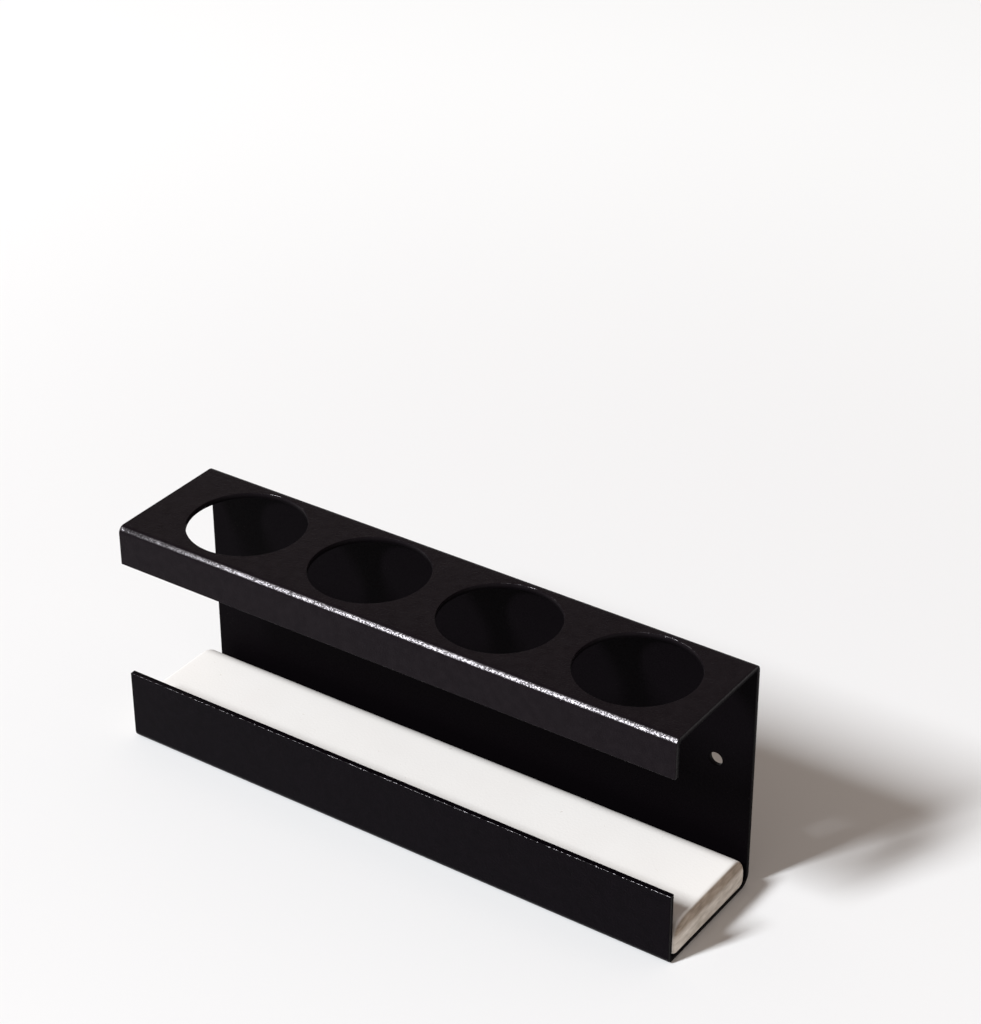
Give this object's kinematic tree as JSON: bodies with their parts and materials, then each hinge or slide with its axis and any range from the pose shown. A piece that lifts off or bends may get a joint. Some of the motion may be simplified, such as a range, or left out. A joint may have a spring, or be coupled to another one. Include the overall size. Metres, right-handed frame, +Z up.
{
  "type": "toothbrush holder",
  "caption": "Folded sheet metal toothbrush holder with round holes in its shelf and an absorbent stone pad in the channel below.",
  "frame": {"origin": "middle of the base, on the surface that the holder stands on", "axes": "+X along the holder to its right, +Y from the front lips to the wall, +Z up"},
  "size_m": [0.2138, 0.0488, 0.0835],
  "materials": {
    "black_powder_coat": "satin",
    "absorbent_stone": "matte"
  },
  "bodies": {
    "bracket": {"bracket": "black_powder_coat"},
    "pad": {"pad": "absorbent_stone"}
  },
  "joints": [
    {"name": "pad_slide", "type": "slide", "parent": "bracket", "child": "pad", "axis": [1, 0, 0], "range_m": [-0.215, 0.215]}
  ]
}
